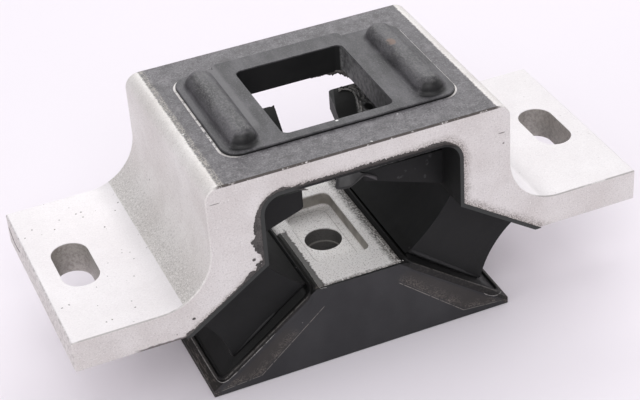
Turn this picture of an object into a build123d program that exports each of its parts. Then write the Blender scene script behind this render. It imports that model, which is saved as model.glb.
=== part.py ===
from build123d import *
import os
from math import cos, radians, sin, tan

# Rubber-to-metal engine mount. An aluminium bracket with two slotted flanges bridges an aluminium
# wedge, and one rubber moulding joins the two. X runs along the bracket, Y through its tunnel and
# Z up. The origin is on the floor, under the middle of the wedge. All sizes are in millimetres.

# Outer bracket
bracket_length = 199.4
bracket_depth = 78.0
bracket_height = 86.2
shoulder_width = 104.2
flange_top = 45.2
flange_thickness = 11.5
top_edge_radius = 5.0
shoulder_fillet_radius = 18.5
edge_break = 0.6

# Tunnel through the bracket, and the slanted undersides beside it
tunnel_width = 70.0
top_wall = 7.8
tunnel_corner_radius = 7.5
tunnel_side_foot = 53.0
underside_slope = 34.0

# Slots in the flanges, for M12 bolts
slot_end_distance = 13.1
slot_width = 12.5
slot_length = 25.0

# Window through the top wall, as cut in the aluminium
window_length = 41.6
window_depth = 46.4
window_centre_y = -0.8
window_corner_radius = 4.0

# Inner core
core_height = 31.0
core_top_width = 29.8
core_depth = 62.6
core_slope = 36.5
core_land = 2.3
core_edge_break = 0.4

# Pocket for the bolt's hexagon head, and the bore below it
pocket_width = 19.4
pocket_length = 38.4
pocket_depth = 5.4
pocket_corner_radius = 3.0
pocket_floor_radius = 0.8
bore_diameter = 12.4
counterbore_diameter = 13.0
counterbore_depth = 5.3

# Rubber over the metal
lining_thickness = 1.3
lining_proud = 0.25
window_lining = 1.5
skin_thickness = 0.9
skin_floor_gap = 0.3

# Top pad, the bare field behind its window, and its two buffer ridges
pad_centre_x = 0.6
pad_length = 80.8
pad_depth = 52.6
pad_thickness = 1.0
pad_corner_radius = 6.0
pad_edge_radius = 0.4
field_centre_x = -1.5
field_length = 47.0
field_reach = 2.8
field_corner_radius = 2.4
ridge_end_gap = 2.9
ridge_side_gap = 2.8
ridge_width = 10.0
ridge_height = 4.4
ridge_round = 4.0
ridge_base_radius = 1.2

# Legs, measured down the core's slope from its upper edge, and square to that slope. The hollow
# sides of a leg run through a foot, a middle and a head point each.
leg_depth = 57.6
leg_near_foot = 2.1
leg_near_middle = 4.9
leg_near_head = 4.5
leg_far_foot = 36.4
leg_far_middle = 33.1
leg_far_head = 35.6
leg_bottom_chamfer = 1.0
foot_near = 1.0
foot_far = 45.8
foot_depth = 66.0
foot_rim = 1.1
foot_overlap = 0.6
foot_corner_radius = 5.0
lip_width = 1.3
lip_height = 0.8
lip_round = 0.35
groove_width = 1.2
neck_height = 2.4
neck_inset = 0.8

# Travel stops inside the tunnel, measured from its side walls
stop_depth = 52.4
stop_root_low = 53.4
stop_top = 67.0
stop_low_slope = 19.5
stop_long_reach = 30.6
stop_short_reach = 19.2
stop_tip_radius = 1.8

# Worked out from the sizes above
flange_bottom = flange_top - flange_thickness
tunnel_top = bracket_height - top_wall
pad_top = bracket_height + pad_thickness
core_base_width = core_top_width + 2 * (core_height - core_land) / tan(radians(core_slope))
pocket_floor = core_height - pocket_depth
slot_spacing = bracket_length - 2 * slot_end_distance
ridge_spacing = pad_length - ridge_width - 2 * ridge_end_gap
ridge_length = pad_depth - 2 * ridge_side_gap
lining_depth = bracket_depth + 2 * lining_proud
cover_depth = core_depth + 2 * skin_thickness

# The core's right-hand slope: sloping is its section (x down the slope, y square off it), and
# on_slope is its surface (x down the slope, y along the tunnel).
down_slope = (cos(radians(core_slope)), 0, -sin(radians(core_slope)))
off_slope = (sin(radians(core_slope)), 0, cos(radians(core_slope)))
slope_start = (core_top_width / 2, 0, core_height)
sloping = Plane(origin=slope_start, x_dir=down_slope, z_dir=(0, -1, 0))
on_slope = Plane(origin=slope_start, x_dir=down_slope, z_dir=off_slope)


def tunnel_section(inset):
    """The tunnel's section, open below, drawn in by the thickness of what lines it."""
    half_width = tunnel_width / 2 - inset
    roof = tunnel_top - inset
    slant = tan(radians(underside_slope))
    drop = inset / cos(radians(underside_slope))
    side_foot = tunnel_side_foot + inset * slant - drop
    mouth = half_width + (side_foot - flange_bottom) / slant
    Polygon(
        (-half_width, roof),
        (-half_width, side_foot),
        (-mouth, flange_bottom),
        (mouth, flange_bottom),
        (half_width, side_foot),
        (half_width, roof),
        align=None,
    )
    fillet(vertices().group_by(Axis.Y)[-1], radius=tunnel_corner_radius - inset)


def cover_section(top):
    """The core's section with the rubber skin on its slopes and lands, up to a given height."""
    skin_run = skin_thickness / sin(radians(core_slope))
    half_top = core_top_width / 2 + skin_run + (core_height - top) / tan(radians(core_slope))
    half_base = core_base_width / 2 + skin_thickness
    shoulder = top - (half_base - half_top) * tan(radians(core_slope))
    Polygon(
        (-half_top, top),
        (-half_base, shoulder),
        (-half_base, skin_floor_gap),
        (half_base, skin_floor_gap),
        (half_base, shoulder),
        (half_top, top),
        align=None,
    )


os.makedirs("parts", exist_ok=True)

# Outer bracket: a constant section along Y, then the tunnel, slots and window cut through it
with BuildPart() as outer_bracket:
    with BuildSketch(Plane.XZ) as body_section:
        with Locations((0, flange_bottom)):
            Rectangle(bracket_length, flange_thickness, align=(Align.CENTER, Align.MIN))
            Rectangle(shoulder_width, bracket_height - flange_bottom, align=(Align.CENTER, Align.MIN))
        fillet(body_section.vertices().group_by(Axis.Y)[-1], radius=top_edge_radius)
        shoulder_corners = body_section.vertices().filter_by_position(Axis.Y, flange_top, flange_top)
        fillet(shoulder_corners.sort_by(Axis.X)[1:-1], radius=shoulder_fillet_radius)
    extrude(amount=bracket_depth / 2, both=True)
    faces_front_and_back = outer_bracket.faces().filter_by(Axis.Y)
    flange_ends = outer_bracket.faces().filter_by(Axis.X).sort_by(Axis.X)
    fillet(
        ShapeList(faces_front_and_back.edges() + flange_ends[0].edges() + flange_ends[-1].edges()),
        radius=edge_break,
    )
    with BuildSketch(Plane.XZ):
        tunnel_section(inset=0)
    extrude(amount=bracket_depth / 2, both=True, mode=Mode.SUBTRACT)
    with BuildSketch(Plane.XY.offset(flange_bottom)):
        with GridLocations(slot_spacing, 0, 2, 1):
            SlotOverall(slot_length, slot_width, rotation=90)
    extrude(amount=flange_thickness, mode=Mode.SUBTRACT)
    with BuildSketch(Plane.XY.offset(tunnel_top)):
        with Locations((0, window_centre_y)):
            RectangleRounded(window_length, window_depth, window_corner_radius)
    extrude(amount=top_wall, mode=Mode.SUBTRACT)

# Blank of the inner core: a wedge with short upright lands at its foot
with BuildPart() as core_blank:
    with BuildSketch(Plane.XZ):
        Polygon(
            (-core_top_width / 2, core_height),
            (-core_base_width / 2, core_land),
            (-core_base_width / 2, 0),
            (core_base_width / 2, 0),
            (core_base_width / 2, core_land),
            (core_top_width / 2, core_height),
            align=None,
        )
    extrude(amount=core_depth / 2, both=True)
    chamfer(core_blank.faces().sort_by(Axis.Z)[-1].edges(), length=core_edge_break)

# Inner core: the blank with a pocket for the bolt's head and a stepped bore
with BuildPart() as inner_core:
    add(core_blank.part)
    with BuildSketch(Plane.XY.offset(core_height)):
        RectangleRounded(pocket_width, pocket_length, pocket_corner_radius)
    extrude(amount=-pocket_depth, mode=Mode.SUBTRACT)
    pocket_floor_face = inner_core.faces().filter_by_position(Axis.Z, pocket_floor, pocket_floor)
    fillet(pocket_floor_face.edges(), radius=pocket_floor_radius)
    with Locations((0, 0, pocket_floor)):
        CounterBoreHole(
            radius=bore_diameter / 2,
            counter_bore_radius=counterbore_diameter / 2,
            counter_bore_depth=counterbore_depth,
        )

# One travel stop: a wedge on the right-hand wall, whose tip runs askew in plan
with BuildPart() as travel_stop:
    wall = tunnel_width / 2
    with BuildSketch(Plane.XZ):
        Polygon(
            (wall, stop_root_low),
            (wall, stop_top),
            (wall - stop_long_reach, stop_top),
            (wall - stop_long_reach, stop_root_low + stop_long_reach * tan(radians(stop_low_slope))),
            align=None,
        )
    extrude(amount=stop_depth / 2, both=True)
    with BuildSketch(Plane.XY.offset(stop_root_low)):
        Polygon(
            (wall, -stop_depth / 2),
            (wall, stop_depth / 2),
            (wall - stop_short_reach, stop_depth / 2),
            (wall - stop_long_reach, -stop_depth / 2),
            align=None,
        )
    extrude(amount=stop_top - stop_root_low, mode=Mode.INTERSECT)
    stop_tip_edges = travel_stop.faces().sort_by(Axis.X)[0].edges()
    fillet(stop_tip_edges.filter_by(Axis.Z), radius=stop_tip_radius)

# One leg on the right-hand slope: a foot plate, a neck and a block with hollowed sides
with BuildPart() as leg:
    underside_gap = (tunnel_side_foot - core_height) / cos(radians(core_slope))
    leg_top = underside_gap + 2 * lining_thickness
    leg_middle = (neck_height + leg_top) / 2
    with BuildSketch(sloping):
        with BuildLine():
            hollow_near = ThreePointArc(
                (leg_near_foot, neck_height), (leg_near_middle, leg_middle), (leg_near_head, leg_top)
            )
            hollow_far = ThreePointArc(
                (leg_far_foot, neck_height), (leg_far_middle, leg_middle), (leg_far_head, leg_top)
            )
            Line(hollow_near @ 0, hollow_far @ 0)
            Line(hollow_near @ 1, hollow_far @ 1)
        make_face()
    extrude(amount=leg_depth / 2, both=True)
    leg_foot_face = leg.faces().sort_by(Axis(origin=slope_start, direction=off_slope))[0]
    chamfer(leg_foot_face.edges().filter_by(Axis.Y, reverse=True), length=leg_bottom_chamfer)
    foot_middle = (foot_near + foot_far) / 2
    foot_length = foot_far - foot_near
    neck_middle = (leg_near_foot + leg_far_foot) / 2
    neck_length = leg_far_foot - leg_near_foot - 2 * neck_inset
    root_inset = lip_width + groove_width
    with BuildSketch(on_slope.offset(-foot_overlap)):
        with Locations((foot_middle, 0)):
            RectangleRounded(foot_length, foot_depth, foot_corner_radius)
    extrude(amount=foot_overlap + foot_rim)
    with BuildSketch(on_slope.offset(foot_rim)):
        with Locations((foot_middle, 0)):
            RectangleRounded(
                foot_length - 2 * root_inset,
                foot_depth - 2 * root_inset,
                foot_corner_radius - root_inset,
            )
    with BuildSketch(on_slope.offset(neck_height)):
        with Locations((neck_middle, 0)):
            RectangleRounded(neck_length, leg_depth - 2 * neck_inset, foot_corner_radius / 2)
    loft()
    # Raised lip round the foot plate
    with BuildSketch(on_slope.offset(foot_rim)):
        with Locations((foot_middle, 0)):
            RectangleRounded(foot_length, foot_depth, foot_corner_radius)
            RectangleRounded(
                foot_length - 2 * lip_width,
                foot_depth - 2 * lip_width,
                foot_corner_radius - lip_width,
                mode=Mode.SUBTRACT,
            )
    extrude(amount=lip_height)
    ring_faces = leg.faces().filter_by(on_slope).filter_by(lambda face: len(face.inner_wires()) == 1)
    lip_top = ring_faces.sort_by(Axis(origin=slope_start, direction=off_slope))[-1]
    fillet(lip_top.edges(), radius=lip_round)

# Rubber spring: everything that the mould fills around the two metal pieces
with BuildPart() as rubber_spring:
    # Top pad with its ridges
    with BuildSketch(Plane.XY.offset(bracket_height)):
        with Locations((pad_centre_x, 0)):
            RectangleRounded(pad_length, pad_depth, pad_corner_radius)
        with Locations((field_centre_x, pad_depth / 2)):
            RectangleRounded(field_length, 2 * field_reach, field_corner_radius)
    extrude(amount=pad_thickness)
    with BuildSketch(Plane.XY.offset(pad_top)):
        with Locations((pad_centre_x, 0)), GridLocations(ridge_spacing, 0, 2, 1):
            SlotOverall(ridge_length, ridge_width, rotation=90)
    extrude(amount=ridge_height)
    fillet(rubber_spring.edges().group_by(Axis.Z)[-1], radius=ridge_round)
    pad_face = rubber_spring.faces().filter_by_position(Axis.Z, pad_top, pad_top)[0]
    fillet(pad_face.inner_wires().edges(), radius=ridge_base_radius)
    pad_face = rubber_spring.faces().filter_by_position(Axis.Z, pad_top, pad_top)[0]
    fillet(pad_face.outer_wire().edges(), radius=pad_edge_radius)
    # Lining of the tunnel and of the window
    with BuildSketch(Plane.XZ):
        tunnel_section(inset=0)
    extrude(amount=lining_depth / 2, both=True)
    with BuildSketch(Plane.XZ):
        tunnel_section(inset=lining_thickness)
    extrude(amount=lining_depth / 2, both=True, mode=Mode.SUBTRACT)
    with BuildSketch(Plane.XY.offset(tunnel_top - lining_thickness)):
        with Locations((0, window_centre_y)):
            RectangleRounded(window_length, window_depth, window_corner_radius)
    extrude(amount=pad_top - tunnel_top + lining_thickness)
    with BuildSketch(Plane.XY.offset(tunnel_top - lining_thickness)):
        with Locations((0, window_centre_y)):
            RectangleRounded(
                window_length - 2 * window_lining,
                window_depth - 2 * window_lining,
                window_corner_radius - window_lining,
            )
    extrude(amount=pad_top - tunnel_top + lining_thickness, mode=Mode.SUBTRACT)
    # Skin over the core: its slopes and lands, then its two end faces
    with BuildSketch(Plane.XZ):
        cover_section(core_height - foot_near * sin(radians(core_slope)))
    extrude(amount=core_depth / 2, both=True)
    with BuildSketch(Plane.XZ.offset(core_depth / 2), Plane.XZ.offset(-cover_depth / 2)):
        cover_section(core_height)
    extrude(amount=skin_thickness)
    # Legs and travel stops
    add(leg.part)
    add(leg.part.mirror(Plane.YZ))
    with PolarLocations(0, 2):
        add(travel_stop.part)
    # The metal pieces fill their own room in the mould
    add(outer_bracket.part, mode=Mode.SUBTRACT)
    add(core_blank.part, mode=Mode.SUBTRACT)

outer_bracket.part.label = "outer_bracket"
inner_core.part.label = "inner_core"
rubber_spring.part.label = "rubber_spring"
export_step(outer_bracket.part, "parts/outer_bracket.step")
export_step(inner_core.part, "parts/inner_core.step")
export_step(rubber_spring.part, "parts/rubber_spring.step")
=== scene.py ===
"""Engine mount: materials, small rubber details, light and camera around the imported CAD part.

Everything is in the part's frame. The part and its pieces are measured in millimetres, which
become metres through mm(). The floor and the lamps are placed in metres.
"""

import math

import bmesh
import bpy
from mathutils import Matrix, Vector, noise


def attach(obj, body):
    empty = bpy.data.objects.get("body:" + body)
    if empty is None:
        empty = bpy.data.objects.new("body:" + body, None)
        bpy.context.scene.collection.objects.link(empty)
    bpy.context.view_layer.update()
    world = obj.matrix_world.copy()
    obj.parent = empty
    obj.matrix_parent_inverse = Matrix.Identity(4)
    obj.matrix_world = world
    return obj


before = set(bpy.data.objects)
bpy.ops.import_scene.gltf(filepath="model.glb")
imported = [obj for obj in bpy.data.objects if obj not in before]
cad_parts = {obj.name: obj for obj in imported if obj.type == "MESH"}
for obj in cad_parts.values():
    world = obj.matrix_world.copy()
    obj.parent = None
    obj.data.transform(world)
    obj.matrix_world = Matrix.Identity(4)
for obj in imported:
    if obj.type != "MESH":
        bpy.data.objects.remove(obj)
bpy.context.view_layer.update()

# Sizes shared with the CAD part (mm)
BRACKET_FRONT = -39.0
BRACKET_TOP = 86.2
LEFT_END = -99.7
TUNNEL_HALF = 35.0
TUNNEL_TOP = 78.4
TUNNEL_CORNER = 7.5
TUNNEL_FOOT = 53.0
UNDERSIDE_SLOPE = math.radians(34)
LINING = 1.3
PAD_CENTRE_X = 0.6
PAD_HALF_X = 40.4
PAD_HALF_Y = 26.3
PAD_CORNER = 6.0
PAD_TOP = 87.2
CORE_SLOPE = math.radians(36.5)
CORE_TOP = 31.0
CORE_TOP_HALF = 14.9
CORE_FRONT = -31.3
SKIN_FRONT = -32.2
STOP_TOP = 67.0
STOP_FRONT = -26.2
STOP_HOLLOW = (17.5, 15.0)
STOP_TURN = math.radians(20)
# Marks on the bracket as (u, v, half width, half height): pits on the left flange from above, a
# curved scratch on that flange's end, and short casting lines on the front
PITS = ((-78.1, 27.5, 0.32, 0.32), (-76.5, 24.6, 0.3, 0.3))
END_SCRATCH = (
    (36.2, 40.5, 1.3, 0.85), (34.6, 39.7, 1.5, 0.85), (32.8, 39.0, 1.6, 0.8),
    (30.6, 38.4, 1.7, 0.75), (28.2, 38.3, 1.6, 0.65), (26.2, 38.6, 1.4, 0.55),
    (24.4, 39.1, 1.2, 0.45),
)
FRONT_LINES = ((-49.1, 80.45, 1.8, 0.16), (48.8, 76.0, 1.3, 0.24), (49.4, 71.9, 0.4, 0.35))
# Marks seen from above as (x, y, half width, half length): bright scratches on the core's top, a
# rusty spot and a white tick on the pad, painted shade at the ridges' front ends, and a painted
# shadow on the right stop's top
CORE_SCRATCHES = ((-6.0, -29.6, 0.18, 2.4), (-5.4, -26.9, 0.6, 0.13))
PAD_RUST = ((31.8, 6.8, 1.6, 2.2),)
PAD_TICK = ((-1.3, -23.2, 0.55, 0.4),)
RIDGE_END_SHADE = ((-32.2, -22.8, 5.2, 2.5), (32.8, -22.8, 5.0, 2.4))
STOP_SHADOW = ((23.9, 9.8, 1.5, 2.6),)
# The feet in slope coordinates: their ends along the slope, half their length along Y, and the
# heights of the rim and the lip
FOOT_NEAR = 1.0
FOOT_FAR = 45.8
FOOT_HALF = 33.0
FOOT_RIM = 1.1
LIP_TOP = 1.9
# Pale spots on the stop's front: x, z, half width, half height
STOP_SPOTS = (
    (29.3, 66.3, 0.6, 1.2), (28.1, 63.9, 0.6, 1.3), (20.1, 62.9, 0.7, 0.5), (18.3, 61.2, 1.2, 0.6),
    (27.2, 58.6, 0.5, 0.8), (23.7, 62.6, 0.3, 0.3),
)


def mm(*values):
    """A point or vector in millimetres as a Vector in metres."""
    return Vector(values) * 0.001


class Graph:
    """Builds one node material: places are in millimetres, and color holds its layers so far."""

    def __init__(self, name):
        self.material = bpy.data.materials.new(name)
        self.material.use_nodes = True
        self.tree = self.material.node_tree
        self.tree.nodes.clear()
        coordinates = self.tree.nodes.new("ShaderNodeTexCoord")
        self.place = self.vector("SCALE", coordinates.outputs["Object"], 1000.0)
        self.x, self.y, self.z = self.split(self.place)
        self.color = None

    def node(self, kind, inputs, **settings):
        made = self.tree.nodes.new(kind)
        for key, value in settings.items():
            setattr(made, key, value)
        for key, value in inputs.items():
            if isinstance(value, bpy.types.NodeSocket):
                self.tree.links.new(value, made.inputs[key])
            else:
                made.inputs[key].default_value = value
        return made

    def vector(self, operation, a, b):
        second = "Scale" if operation == "SCALE" else 1
        inputs = {0: a, second: b}
        return self.node("ShaderNodeVectorMath", inputs, operation=operation).outputs[0]

    def split(self, vector):
        return self.node("ShaderNodeSeparateXYZ", {0: vector}).outputs

    def math(self, operation, *values):
        return self.node("ShaderNodeMath", dict(enumerate(values)), operation=operation).outputs[0]

    def plus(self, a, b):
        return self.math("ADD", a, b)

    def minus(self, a, b):
        return self.math("SUBTRACT", a, b)

    def larger(self, a, b):
        return self.math("MAXIMUM", a, b)

    def absolute(self, value):
        return self.math("ABSOLUTE", value)

    def times(self, *values):
        result = values[0]
        for value in values[1:]:
            result = self.math("MULTIPLY", result, value)
        return result

    def squares(self, a, b):
        """The sum of the squares of two values."""
        return self.plus(self.times(a, a), self.times(b, b))

    def ramp(self, value, start, end):
        """0 at start, 1 at end, with a smooth step between them; end may be below start."""
        inputs = {"Value": value, "From Min": start, "From Max": end}
        return self.node("ShaderNodeMapRange", inputs, interpolation_type="SMOOTHSTEP").outputs[0]

    def window(self, value, low, high, soft):
        """1 where value lies between low and high."""
        return self.times(
            self.ramp(value, low - soft, low + soft), self.ramp(value, high + soft, high - soft)
        )

    def noise(self, size, detail=2.0, roughness=0.5, stretch=(1, 1, 1), shift=0.0, place=None):
        """Cloud noise from 0 to 1 whose spots are about `size` mm across."""
        where = self.vector("MULTIPLY", place or self.place, stretch)
        where = self.vector("ADD", where, (shift, shift * 0.7, shift * 1.3))
        inputs = {"Vector": where, "Scale": 1.0 / size, "Detail": detail, "Roughness": roughness}
        return self.node("ShaderNodeTexNoise", inputs).outputs["Fac"]

    def sway(self, reach, size, **settings):
        """Cloud noise from minus to plus half of `reach`."""
        return self.times(self.minus(self.noise(size, **settings), 0.5), reach)

    def specks(self, size, share, radius):
        """1 inside sparse round specks: `share` of cells `size` mm wide hold one."""
        wobble = self.node("ShaderNodeTexNoise", {"Vector": self.place, "Scale": 2.0 / size})
        drift = self.vector("SCALE", wobble.outputs[1], size * 0.3)
        where = self.vector("ADD", self.place, drift)
        cells = self.node("ShaderNodeTexVoronoi", {"Vector": where, "Scale": 1.0 / size})
        chosen = self.ramp(self.split(cells.outputs["Color"])[0], 1 - share, 1 - share + 0.02)
        rim = radius / size
        return self.times(chosen, self.ramp(cells.outputs["Distance"], rim, rim * 0.6))

    def spots(self, u, v, places):
        """1 inside soft ovals on the UV plane; a place is (u, v, half width, half height)."""
        result = None
        for centre_u, centre_v, half_u, half_v in places:
            off_u = self.math("DIVIDE", self.minus(u, centre_u), half_u)
            off_v = self.math("DIVIDE", self.minus(v, centre_v), half_v)
            oval = self.ramp(self.squares(off_u, off_v), 1.3, 0.5)
            result = oval if result is None else self.larger(result, oval)
        return result

    def mix(self, factor, a, b):
        made = self.node("ShaderNodeMix", {"Factor": factor}, data_type="RGBA")
        for socket, value in ((made.inputs[6], a), (made.inputs[7], b)):
            if isinstance(value, bpy.types.NodeSocket):
                self.tree.links.new(value, socket)
            else:
                socket.default_value = (*value, 1.0)
        return made.outputs[2]

    def blend(self, factor, a, b):
        """A number between a and b."""
        return self.node("ShaderNodeMix", {0: factor, 2: a, 3: b}, data_type="FLOAT").outputs[0]

    def paint(self, shade, *factors):
        """Covers the layers so far with a shade, as far as the product of the factors says."""
        self.color = self.mix(self.times(*factors), self.color, shade)

    def finish(self, roughness, metallic, bumps, specular=0.4):
        """The material of the layers so far. Bumps are pairs of height socket and depth in mm."""
        normal = {}
        for height, depth in bumps:
            inputs = {"Height": height, "Distance": depth * 0.001, "Strength": 1.0, **normal}
            normal = {"Normal": self.node("ShaderNodeBump", inputs).outputs[0]}
        inputs = {
            "Base Color": self.color, "Roughness": roughness, "Metallic": metallic,
            "Specular IOR Level": specular, **normal,
        }
        surface = self.node("ShaderNodeBsdfPrincipled", inputs)
        self.node("ShaderNodeOutputMaterial", {"Surface": surface.outputs[0]})
        return self.material


def box_distance(g, u, v, half_u, half_v, corner):
    """Distance outside a rounded rectangle, negative inside, as a node value."""
    outside_u = g.minus(g.absolute(u), half_u - corner)
    outside_v = g.minus(g.absolute(v), half_v - corner)
    far_u = g.larger(outside_u, 0.0)
    far_v = g.larger(outside_v, 0.0)
    length = g.math("SQRT", g.squares(far_u, far_v))
    inside = g.math("MINIMUM", g.larger(outside_u, outside_v), 0.0)
    return g.minus(g.plus(length, inside), corner)


def tunnel_distance(g):
    """Distance from the tunnel's outline in the XZ plane, positive in the metal."""
    arch = box_distance(g, g.x, g.larger(g.z, 0.0), TUNNEL_HALF, TUNNEL_TOP, TUNNEL_CORNER)
    rise = g.times(g.minus(g.z, TUNNEL_FOOT), math.cos(UNDERSIDE_SLOPE))
    run = g.times(g.minus(g.absolute(g.x), TUNNEL_HALF), math.sin(UNDERSIDE_SLOPE))
    return g.math("MINIMUM", arch, g.plus(rise, run))


def cast_aluminium():
    """Shot-blasted casting with a rubber film on its top, haze at the tunnel and small pits."""
    g = Graph("cast_aluminium")
    side = g.absolute(g.x)
    depth = g.absolute(g.y)
    on_right = g.ramp(g.x, -1.0, 1.0)
    cloud = g.noise(26, detail=4, roughness=0.55)
    patch = g.noise(7, detail=3, shift=11)
    grain = g.noise(0.55, detail=3, roughness=0.7, shift=3)
    fine = g.noise(0.22, detail=1, shift=7)
    g.color = g.mix(g.ramp(cloud, 0.3, 0.7), (0.7, 0.665, 0.645), (0.8, 0.775, 0.76))
    g.paint((0.62, 0.585, 0.57), g.ramp(patch, 0.45, 0.8), 0.35)
    g.paint((0.46, 0.435, 0.42), g.ramp(grain, 0.52, 0.7), 0.5)
    g.paint((0.93, 0.92, 0.91), g.ramp(grain, 0.44, 0.28), 0.7)

    # The left shoulder starts darker and coarser beside its flange, whose top is at 45.2. The
    # flange tops and the right fillet are painted paler with the backdrop's lilac tint, the left
    # flange more than
    # the right: painted light and painted reflection
    behind_front = g.ramp(g.y, BRACKET_FRONT + 0.03, BRACKET_FRONT + 0.35)
    shoulder = g.times(
        g.ramp(side, 63.1, 62.8),
        g.ramp(side, 52.0, 62.0),
        g.ramp(g.z, 45.25, 45.6),
        behind_front,
        g.ramp(g.x, 1.0, -1.0),
    )
    g.paint((0.5, 0.475, 0.46), shoulder, 0.5)
    g.paint((0.27, 0.255, 0.245), shoulder, g.ramp(grain, 0.54, 0.62), 0.35)
    g.paint((0.92, 0.9, 0.89), shoulder, g.ramp(grain, 0.46, 0.38), 0.5)
    on_flange = g.times(g.ramp(side, 62.8, 63.1), g.ramp(g.z, 44.9, 45.0), behind_front)
    # Flange tops painted paler, the left more than the right: painted light and painted reflection
    g.paint(g.mix(on_right, (0.84, 0.81, 0.84), (0.75, 0.725, 0.75)), on_flange, 0.6)
    # Right fillet painted pale: painted light
    right_fillet_painted_light = g.times(
        g.window(g.x, 52.0, 63.0, 1.0),
        g.ramp(g.z, 44.9, 45.2),
        g.ramp(g.z, 60.0, 52.0),
        behind_front,
    )
    g.paint((0.95, 0.92, 0.95), right_fillet_painted_light, 0.7)

    # A broken dark line along the flanges' upper front edges
    flange_edge = g.times(g.window(g.y, -38.95, -38.6, 0.05), g.ramp(side, 60.0, 64.0))
    broken = g.ramp(patch, 0.4, 0.52)
    g.paint((0.3, 0.28, 0.27), flange_edge, g.ramp(g.z, 44.7, 44.9), broken, 0.6)

    # Slot walls painted darker in a brown mottle: painted shade with stains
    in_slot = g.times(
        g.window(side, 80.1, 93.1, 0.1), g.ramp(depth, 12.8, 12.6), g.ramp(g.z, 45.1, 44.8)
    )
    slot_cloud = g.ramp(g.noise(1.1, detail=4, roughness=0.7, shift=77), 0.38, 0.66)
    g.paint(g.mix(slot_cloud, (0.42, 0.395, 0.365), (0.23, 0.21, 0.19)), in_slot, 0.75)

    # Brown haze and dark specks next to the tunnel, on the cast faces
    edge = tunnel_distance(g)
    ragged = g.plus(edge, g.sway(2.4, 1.8, detail=4, shift=19))
    reach = g.blend(g.ramp(g.x, 12.0, 24.0), 2.2, 3.5)
    haze = g.ramp(ragged, reach, -0.4)
    g.paint((0.33, 0.27, 0.235), haze, 0.34)
    dirt = g.ramp(g.noise(0.5, detail=2, shift=23), 0.4, 0.62)
    g.paint((0.1, 0.078, 0.066), haze, dirt, 0.72)

    # Pits, casting lines on the front, dirt and a scratch on the left end, and a dark line along
    # the left flange's lower front edge
    flange_pits = g.times(g.ramp(g.z, 46.0, 45.6), g.spots(g.x, g.y, PITS))
    pits = g.larger(g.specks(6.5, 0.1, 0.42), flange_pits)
    on_front = g.ramp(g.y, BRACKET_FRONT + 0.3, BRACKET_FRONT + 0.1)
    g.paint((0.12, 0.1, 0.09), on_front, g.spots(g.x, g.z, FRONT_LINES), 0.7)
    on_end = g.ramp(g.x, LEFT_END + 0.5, LEFT_END + 0.2)
    end_cloud = g.ramp(g.noise(1.5, detail=4, roughness=0.7, shift=85), 0.46, 0.62)
    g.paint((0.34, 0.32, 0.31), on_end, end_cloud, 0.5)
    end_scratch = g.times(on_end, g.spots(g.y, g.z, END_SCRATCH))
    low_edge = g.plus(g.z, g.sway(1.2, 2.5, detail=3, shift=81))
    low_line = g.times(
        g.ramp(g.y, -38.4, -38.7), g.ramp(low_edge, 34.9, 34.5), g.window(g.x, -79.0, -60.0, 2.0)
    )
    g.paint((0.1, 0.085, 0.08), g.larger(end_scratch, low_line), 0.85)
    g.paint((0.11, 0.09, 0.08), pits, 0.7)
    pitted = g.ramp(g.noise(12, detail=1, shift=79), 0.38, 0.48)
    pit_share = g.blend(on_right, 0.85, 0.25)
    g.paint((0.13, 0.11, 0.1), on_flange, g.specks(2.6, 0.42, 0.36), pitted, pit_share)

    # Rubber film over the flat top, with chipped edges and a bare line round the pad
    chip = g.sway(1.3, 0.9, detail=3, roughness=0.65, shift=31)
    side_edge = g.plus(side, chip)
    front_edge = g.plus(depth, g.times(chip, 0.25))
    on_top = g.times(
        g.ramp(g.z, BRACKET_TOP - 0.45, BRACKET_TOP - 0.25),
        g.ramp(side_edge, 47.6, 47.0),
        g.ramp(front_edge, 38.9, 38.6),
    )
    pad_x = g.minus(g.x, PAD_CENTRE_X)
    pad_edge = box_distance(g, pad_x, g.y, PAD_HALF_X, PAD_HALF_Y, PAD_CORNER)
    line_width = g.blend(on_right, 0.8, 0.66)
    bare_line = g.times(
        g.ramp(g.minus(pad_edge, line_width), 0.08, -0.08),
        g.ramp(g.absolute(pad_x), 34.0, 38.5),
        g.ramp(g.noise(1.6, detail=3, shift=41), 0.3, 0.5),
    )
    film = g.times(on_top, g.minus(1.0, g.times(bare_line, 0.9)))
    film_cloud = g.noise(5.5, detail=5, roughness=0.6, shift=51)
    casting = g.color
    g.color = g.mix(g.ramp(film_cloud, 0.3, 0.7), (0.082, 0.077, 0.084), (0.146, 0.138, 0.148))
    g.paint((0.29, 0.275, 0.29), g.ramp(grain, 0.47, 0.34), 0.6)
    g.paint((0.036, 0.033, 0.035), g.ramp(grain, 0.53, 0.64), 0.6)
    side_band = g.times(g.window(side, 45.4, 47.6, 0.4), g.ramp(g.x, 0.0, -1.0))
    peppered = g.ramp(g.noise(0.45, detail=2, roughness=0.7, shift=37), 0.46, 0.54)
    g.paint((0.4, 0.37, 0.33), side_band, peppered, 0.8)
    blotch = g.noise(2.6, detail=4, roughness=0.65, shift=83)
    g.paint((0.058, 0.053, 0.056), g.ramp(blotch, 0.53, 0.66), 0.7)
    g.paint((0.21, 0.197, 0.208), g.ramp(blotch, 0.46, 0.33), 0.6)
    g.paint((0.75, 0.74, 0.73), g.specks(4.6, 0.24, 0.5), 0.85)
    g.color = g.mix(film, casting, g.color)

    # Brown line where the film meets the front and the sides
    rim = g.times(
        g.ramp(g.z, BRACKET_TOP - 0.75, BRACKET_TOP - 0.5),
        g.ramp(depth, 38.3, 38.6),
        g.ramp(side, 49.5, 46.5),
        g.ramp(g.noise(1.6, detail=4, roughness=0.7, shift=61), 0.32, 0.44),
    )
    g.paint((0.042, 0.03, 0.025), rim, 0.9)

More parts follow.
